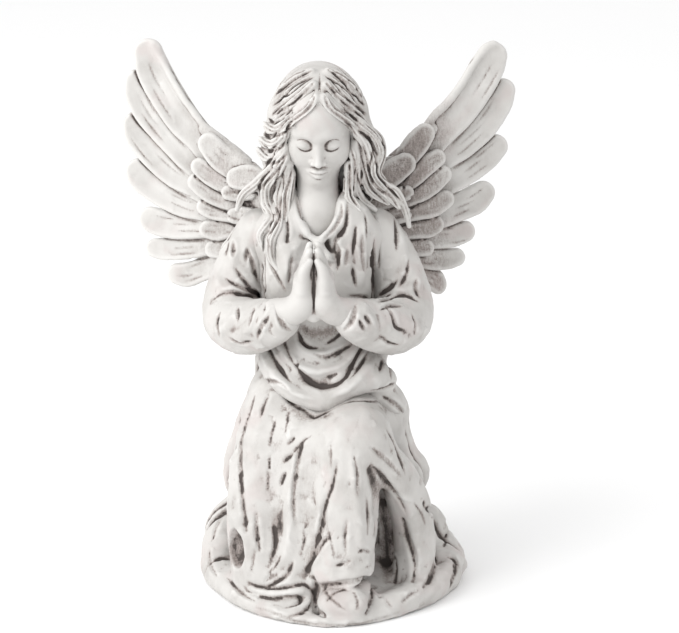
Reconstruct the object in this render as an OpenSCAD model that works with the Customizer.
// Kneeling, praying angel figurine: a hollow cast-resin statuette made of castings that are
// keyed into each other and bonded, with steel reinforcement in the neck and the wings.
// Millimetres, +Z up, the figure looks along -Y, its own left side is +X.

/* [Overall size] */
// Height from the underside to the tips of the wings
overall_h = 254; // [240:2:266]
// Width across the spread wings
overall_w = 190; // [184:2:196]
// Depth of the spread hem, front to back
overall_d = 145; // [140:1:150]

/* [Castings] */
// Wall of the hollow skirt casting
wall = 7; // [6:0.5:9]
// Height of the joint between the skirt and the torso
waist_z = 98; // [96:1:100]
// Thickness of the plate that closes the underside
base_plate_t = 4; // [3:0.5:6]
// Diameter of the vent hole in the base plate
vent_d = 8; // [6:1:12]

/* [Joints] */
// Diameter of the spigot under the torso
spigot_d = 34; // [28:1:36]
// Length of the spigot and of the neck and wing tenons
tenon_l = 10; // [8:1:12]
// Thickness of the tenon on each wing
wing_tenon = 6; // [5:0.5:7]
// Diameter of the steel dowel in the neck
neck_dowel_d = 4; // [3:0.5:5]
// Diameter of the steel rod in each wing
wing_rod_d = 3; // [2.5:0.5:3.5]
// Gap filled by adhesive all round a joint
glue_gap = 0.15; // [0.1:0.05:0.25]

/* [Wings] */
// Angle by which each wing sweeps back
wing_sweep = 25; // [22:1:28]
// Thickness of one feather
feather_t = 4; // [3.5:0.5:4.5]
// Step in depth between one feather row and the next
feather_step = 2.2; // [2:0.1:2.6]

/* [Hidden] */

resin = "whitesmoke";
steel = "silver";
design_h = 254;
design_w = 190;
design_d = 145;
hs = overall_h / design_h;      // every height follows the overall height
ws = overall_w / design_w;      // every width follows the span
ds = overall_d / design_d;      // every depth follows the hem
ring_n = 48;                    // points round a lofted ring
cavity_n = 24;                  // points round a ring of the core
eps = 0.01;
round_fn = 48;

// Points at design size, moved to the chosen size.
function at(p) = [p[0] * ws, p[1] * ds, p[2] * hs];

// ---- General solids -------------------------------------------------------------------------

// A closed solid through rings that all have the same number of points, closed at its two ends
// by fans round the ends' middles.
module loft(rings) {
    n = len(rings[0]);
    m = len(rings);
    middle = function(r) [for (k = [0:2]) [for (p = r) p[k]] * [for (p = r) 1] / n];
    points = concat([for (r = rings) each r], [middle(rings[0]), middle(rings[m - 1])]);
    sides = [for (i = [0:m - 2], j = [0:n - 1]) let (k = (j + 1) % n)
        each [[i * n + j, (i + 1) * n + j, (i + 1) * n + k], [i * n + j, (i + 1) * n + k, i * n + k]]];
    low = [for (j = [0:n - 1]) [m * n, j, (j + 1) % n]];
    high = [for (j = [0:n - 1]) [m * n + 1, (m - 1) * n + (j + 1) % n, (m - 1) * n + j]];
    polyhedron(points = points, faces = concat(sides, low, high));
}

// A ring of n points at height z round centre [cx, cy], with its own reach to the left, right,
// front and back.
function ring(n, z, c, left, right, front, back) =
    [for (i = [0:n - 1]) let (a = 360 * i / n)
        [c[0] + cos(a) * (cos(a) > 0 ? right : left), c[1] + sin(a) * (sin(a) > 0 ? back : front), z]];

function unit(v) = v / norm(v);

// Rings of n points square to a path, with a radius at each of its points.
function tube_rings(path, radii, n) =
    [for (i = [0:len(path) - 1]) let (
        along = unit(path[min(i + 1, len(path) - 1)] - path[max(i - 1, 0)]),
        side = unit(cross(along, [1, 0, 0])),
        up = cross(side, along))
        [for (j = [0:n - 1]) let (a = -360 * j / n) path[i] + radii[i] * (cos(a) * side + sin(a) * up)]];

// A curve through four points, as a cubic Bezier, in n steps.
function bezier(a, b, c, d, n) =
    [for (i = [0:n]) let (t = i / n, s = 1 - t)
        s * s * s * a + 3 * s * s * t * b + 3 * s * t * t * c + t * t * t * d];

// ---- Skirt ----------------------------------------------------------------------------------

// The skirt's reach at each height: left, right, front and back of the middle.
skirt_left = [[0, 57], [8, 58], [20, 53], [35, 46], [52, 44], [70, 40], [90, 35], [98, 33]];
skirt_right = [[0, 68], [8, 70], [20, 63], [35, 54], [52, 52], [70, 46], [90, 40], [98, 36]];
skirt_front = [[0, 72], [8, 74], [20, 67], [35, 61], [52, 56], [70, 52], [90, 45], [98, 38]];
skirt_back = [[0, 71], [8, 72.5], [20, 66], [35, 55], [52, 45], [70, 36], [90, 29], [98, 27]];
skirt_heights = [0, 3, 8, 14, 20, 28, 36, 44, 52, 60, 68, 76, 84, 91, 98];
flutes = 11;                    // folds round the hem
flute_depth = 1.6;              // depth of a fold at the hem
knee_z = 74;                    // height of the raised left knee
knee_angle = -72;               // direction of the raised knee, from +X
knee_reach = 9;                 // how far the raised knee stands out

function bell(x, width) = exp(-pow(x / width, 2));

// How far the raised knee and the hem's folds move the skirt's surface, at angle a and height z.
function skirt_relief(a, z) = let (away = a > 180 ? a - 360 : a)
    knee_reach * bell(away - knee_angle, 26) * bell(z - knee_z, 20)
    - flute_depth * (1 - z / waist_z) * (1 + sin(flutes * a)) / 2;

// The skirt's ring at height z, drawn in by inset.
function skirt_ring(n, z, inset = 0) =
    [for (i = [0:n - 1]) let (
        a = 360 * i / n,
        x = cos(a) * (lookup(z, cos(a) > 0 ? skirt_right : skirt_left) - inset + skirt_relief(a, z)),
        y = sin(a) * (lookup(z, sin(a) > 0 ? skirt_back : skirt_front) - inset + skirt_relief(a, z)))
        at([x, y, z])];

cavity_top = 80;                // where the hollow core stops, under the spigot's seat
cavity_heights = [0, 8, 20, 36, 52, 68, cavity_top];
core_inset = wall + 2;          // the core stays inside the folds

function core_ring(z) = skirt_ring(cavity_n, z, core_inset + flute_depth + knee_reach * bell(z - knee_z, 20));

module skirt_outside() {
    loft([for (z = skirt_heights) skirt_ring(ring_n, z)]);
}

module skirt_core() {
    loft([for (z = cavity_heights) [for (p = core_ring(z)) z == 0 ? p - [0, 0, 1] : p]]);
}

module skirt_casting() {
    color(resin) difference() {
        skirt_outside();
        skirt_core();
        translate([0, 0, (waist_z - tenon_l) * hs - glue_gap]) {
            cylinder(d = spigot_d + 2 * glue_gap, h = tenon_l * hs + 1, $fn = round_fn);
        }
    }
}

// The plate that closes the core, flush with the underside, with its vent hole.
module base_plate() {
    outline = [for (p = core_ring(0)) [p[0], p[1]] * 0.985];
    color(resin) difference() {
        translate([0, 0, 0.5]) linear_extrude(base_plate_t) polygon(outline);
        cylinder(d = vent_d, h = 3 * base_plate_t, center = true, $fn = round_fn);
    }
}

// ---- Torso and arms -------------------------------------------------------------------------

torso_heights = [98, 104, 112, 122, 132, 142, 152, 162, 170, 177, 183, 188, 192, 196];
torso_half = [[98, 35], [112, 33], [125, 30], [142, 30], [155, 31], [170, 31], [177, 29], [183, 22], [188, 15],
    [196, 11]];
torso_front = [[98, 35], [112, 30], [125, 26], [142, 24], [162, 23], [177, 19], [188, 13], [196, 10]];
torso_back = [[98, 27], [112, 24], [125, 22], [150, 22], [170, 21], [183, 16], [196, 10]];
torso_middle = [[98, 0], [142, 3], [170, 4], [188, 0], [196, -3]];   // how far back the middle sits

shoulder = [31, 4, 164];
elbow = [43, 0, 129];
cuff = [14, -41, 142];
upper_arm_r = 13.5;
elbow_r = 13;
cuff_r = 8.5;
wrist_r = 5;
wrist_l = 9;

neck_top = 196;
neck_seat_r = 6;

module torso_solid() {
    loft([for (z = torso_heights) [for (p = ring(ring_n, z, [0, lookup(z, torso_middle)], lookup(z, torso_half),
        lookup(z, torso_half), lookup(z, torso_front), lookup(z, torso_back))) at(p)]]);
}

// side is 1 for the figure's left and -1 for its right.
module wing_place(side) {
    mirror([side > 0 ? 0 : 1, 0, 0])
        translate(at([wing_root[0], wing_root[1], wing_root[2]])) rotate([0, 0, wing_sweep]) children();
}

// The flat tenon of a wing, or its mortise when gap is the adhesive's thickness.
module wing_tenon_key(gap) {
    translate([-tenon_l - gap, -wing_tenon / 2 - gap, -tenon_half_h - gap]) {
        cube([tenon_l + wing_key_l + gap, wing_tenon + 2 * gap, 2 * (tenon_half_h + gap)]);
    }
}

// The pad on the back that a wing's flat seat rests against.
module wing_pad() {
    translate([-pad_l, -pad_half_t, -pad_half_h]) cube([pad_l, 2 * pad_half_t, 2 * pad_half_h]);
}

module wing_rod_at(d, extra = 0) {
    translate([-tenon_l - wing_rod_in - extra, 0, 0]) rotate([0, 90, 0]) {
        cylinder(d = d, h = tenon_l + wing_rod_in + wing_rod_out + 2 * extra, $fn = round_fn);
    }
}

module torso_casting() {
    color(resin) {
        difference() {
            union() {
                torso_solid();
                for (side = [-1, 1]) wing_place(side) wing_pad();
            }
            for (side = [-1, 1]) wing_place(side) {
                wing_tenon_key(glue_gap);
                wing_rod_at(wing_rod_d + 2 * glue_gap, glue_gap);
            }
            translate(at([0, -3, neck_top - tenon_l]) - [0, 0, glue_gap]) {
                cylinder(r = neck_seat_r + glue_gap, h = tenon_l * hs + 1, $fn = round_fn);
            }
            translate(at([0, -3, neck_top - 2 * tenon_l]) - [0, 0, glue_gap]) {
                cylinder(d = neck_dowel_d + 2 * glue_gap, h = 2 * tenon_l * hs, $fn = round_fn);
            }
        }
        translate([0, 0, (waist_z - tenon_l) * hs]) {
            cylinder(d = spigot_d, h = tenon_l * hs + eps, $fn = round_fn);
        }
    }
}

// A sleeve from the shoulder round the elbow to the cuff, for the figure's left side.
module sleeve() {
    upper = bezier(shoulder - [4, 0, -6], shoulder + [8, 0, -4], elbow + [4, 2, 12], elbow + [2, -4, -1], 7);
    lower = bezier(elbow + [0, -8, -2], elbow + [-5, -18, -3], cuff + [8, 6, -4], cuff, 6);
    route = [for (p = concat(upper, lower)) at(p)];
    m = len(route) - 1;
    radii = [for (i = [0:m]) lookup(i, [[0, 9], [2, upper_arm_r], [8, elbow_r], [m, cuff_r]])];
    loft(tube_rings(route, radii, 20));
}

// The socket in a cuff, or the wrist that fills it when gap is 0.
module wrist_at(gap) {
    aim = unit(at(cuff) - at(elbow + [-5, -18, -3]));
    turn = [0, acos(aim[2]), atan2(aim[1], aim[0])];
    translate(at(cuff) - aim * (wrist_l + gap)) rotate(turn) {
        cylinder(r = wrist_r + gap, h = wrist_l + gap + 4, $fn = round_fn);
    }
}

module arm_solid() {
    difference() {
        sleeve();
        torso_solid();
        wrist_at(glue_gap);
    }
}

module left_arm_casting() {
    color(resin) arm_solid();
}

module right_arm_casting() {
    color(resin) mirror([1, 0, 0]) arm_solid();
}

// ---- Hands ----------------------------------------------------------------------------------

hand_heel = [4.2, -45, 143];
finger_tip = [2.2, -37, 172];
palm_flat = 0.62;               // thickness of a hand over its width

// One hand with its wrist, for the figure's left side.
module hand() {
    path = bezier(hand_heel, hand_heel + [0, -1, 8], finger_tip + [1, -1, -10], finger_tip, 6);
    points = [for (p = path) at(p)];
    for (i = [0:len(points) - 2]) hull() {
        translate(points[i]) scale([palm_flat, 1.15, 1]) sphere(r = 6.9 - 0.55 * i, $fn = 14);
        translate(points[i + 1]) scale([palm_flat, 1.15, 1]) sphere(r = 6.35 - 0.55 * i, $fn = 14);
    }
    hull() {
        translate(at(hand_heel)) sphere(r = 5, $fn = 14);
        translate(at(cuff)) sphere(r = 4.8, $fn = 14);
    }
    wrist_at(0);
}

module praying_hands() {
    color(resin) difference() {
        for (side = [-1, 1]) mirror([side > 0 ? 0 : 1, 0, 0]) hand();
        for (side = [-1, 1]) mirror([side > 0 ? 0 : 1, 0, 0]) sleeve_rim();
    }
}

// The end of a sleeve round the wrist, where the hand's heel stops.
module sleeve_rim() {
    difference() {
        sleeve();
        wrist_at(glue_gap);
    }
}

// ---- Head -----------------------------------------------------------------------------------

head_middle = [0.5, -5, 222];
// The head's reach with its hair, at heights measured from its middle: sides, front and back.
head_side = [[-26, 8], [-20, 12], [-12, 17], [0, 22], [10, 22.5], [20, 18], [26, 10], [28, 3]];
head_front = [[-26, 10], [-20, 17], [-12, 19], [0, 19], [10, 19], [20, 14], [26, 7], [28, 2]];
head_back = [[-26, 10], [-20, 14], [-12, 19], [0, 24], [10, 24], [20, 18], [26, 9], [28, 3]];
head_steps = [-26, -22, -17, -11, -4, 3, 10, 16, 21, 25, 28];

// The long locks of hair, on the figure's left: over the shoulder, behind it, and down the back.
locks = [
    [[17, -8, 222], [26, -16, 208], [22, -12, 196], [34, -17, 176], 9, 3],
    [[15, 2, 218], [26, 6, 208], [20, 14, 198], [20, 16, 185], 9, 4],
    [[2, 12, 222], [8, 26, 210], [3, 22, 198], [5, 22, 186], 10, 5]];

module lock_of_hair(lock) {
    route = [for (p = bezier(lock[0], lock[1], lock[2], lock[3], 6)) at(p)];
    for (i = [0:5]) hull() {
        translate(route[i]) sphere(r = lock[4] + (lock[5] - lock[4]) * i / 6, $fn = 12);
        translate(route[i + 1]) sphere(r = lock[4] + (lock[5] - lock[4]) * (i + 1) / 6, $fn = 12);
    }
}

module head_casting() {
    color(resin) difference() {
        union() {
            loft([for (h = head_steps) [for (p = ring(32, head_middle[2] + h, [head_middle[0], head_middle[1]],
                lookup(h, head_side), lookup(h, head_side), lookup(h, head_front), lookup(h, head_back))) at(p)]]);
            for (side = [-1, 1], lock = locks) mirror([side > 0 ? 0 : 1, 0, 0]) lock_of_hair(lock);
            translate(at([0, -3, neck_top - tenon_l])) cylinder(r = neck_seat_r, h = 16, $fn = 24);
        }
        difference() {
            torso_solid();
            translate(at([0, -3, neck_top - tenon_l])) cylinder(r = neck_seat_r, h = 16, $fn = 24);
        }
        translate(at([0, -3, neck_top - 2 * tenon_l])) {
            cylinder(d = neck_dowel_d + 2 * glue_gap, h = 4 * tenon_l * hs, $fn = 24);
        }
    }
}

module neck_dowel() {
    color(steel) translate(at([0, -3, neck_top - 2 * tenon_l])) {
        cylinder(d = neck_dowel_d, h = 4 * tenon_l * hs - glue_gap, $fn = round_fn);
    }
}

// ---- Wings ----------------------------------------------------------------------------------

wing_root = [17, 20, 160];      // where a wing meets the back
wing_key_l = 10;                // length of the tenon inside the wing
tenon_half_h = 10;              // half the height of the tenon
pad_l = 18;                     // the pad on the back: length, half thickness and half height
pad_half_t = 7;
pad_half_h = 20;
wing_rod_in = 3;                // how far the rod goes into the torso past the tenon
wing_rod_out = 26;              // how far the rod goes into the wing

// The tips of each wing's long feathers, then of its short ones, as [out, up] from the wing's root.
left_primaries = [[71, 91.5], [77.5, 71], [75, 43], [70, 22], [61, 2], [56, -13], [46, -26]];
right_primaries = [[69, 91.5], [76, 72], [77.5, 54], [76, 33], [73, 9], [69, -8], [59, -22]];
left_coverts = [[33, 52], [41, 40], [46, 29], [47, 17], [43, 4], [38, -7]];
right_coverts = [[33, 50], [43, 35], [45, 27], [43, 14], [41, 3], [38, -7]];
quill_arc = [26, 38, 9];        // reach, height and fall of the line the long feathers grow from
covert_arc = [12, 26, 6];

// A flat feather in the wing's plane from its quill to its tip.
module feather(from, to, half, depth) {
    along = unit(to - from);
    tip = to - along * half * 0.85;
    middle = from + (tip - from) * 0.62;
    translate([0, depth, 0]) rotate([90, 0, 0]) linear_extrude(feather_t, center = true) hull() {
        translate(from) circle(r = half * 0.62, $fn = 16);
        translate(middle) circle(r = half, $fn = 24);
        translate(tip) circle(r = half * 0.85, $fn = 24);
    }
}

// All the feathers of one wing, in the wing's own plane: x outwards, z up.
module feathers(primaries, coverts) {
    for (i = [0:6]) {
        from = [quill_arc[0], quill_arc[1] - quill_arc[2] * i];
        feather(from * ws, [primaries[i][0] / cos(wing_sweep) * ws, primaries[i][1] * hs],
            i == 0 ? 8.5 : 7, feather_step);
    }
    for (i = [0:5]) {
        from = [covert_arc[0], covert_arc[1] - covert_arc[2] * i];
        feather(from * ws, [coverts[i][0] / cos(wing_sweep) * ws, coverts[i][1] * hs], 6.5, -feather_step);
    }
}

module wing_blade(side) {
    wing_place(side) {
        feathers(side > 0 ? left_primaries : right_primaries, side > 0 ? left_coverts : right_coverts);
        hull() {
            translate([0, -5, 2 - pad_half_h]) cube([1, 10, 2 * pad_half_h - 4]);
            for (z = [-12, 24]) translate([22, 0, z]) scale([1, 0.6, 1]) sphere(r = 8, $fn = 16);
        }
    }
}

module wing(side) {
    color(resin) difference() {
        union() {
            wing_blade(side);
            wing_place(side) wing_tenon_key(0);
        }
        wing_place(side) wing_rod_at(wing_rod_d + 2 * glue_gap, glue_gap);
    }
}

module left_wing() {
    wing(1);
}

module right_wing() {
    wing(-1);
}

module left_wing_rod() {
    color(steel) wing_place(1) wing_rod_at(wing_rod_d);
}

module right_wing_rod() {
    color(steel) wing_place(-1) wing_rod_at(wing_rod_d);
}

skirt_casting();
base_plate();
torso_casting();
left_arm_casting();
right_arm_casting();
praying_hands();
head_casting();
neck_dowel();
left_wing();
right_wing();
left_wing_rod();
right_wing_rod();
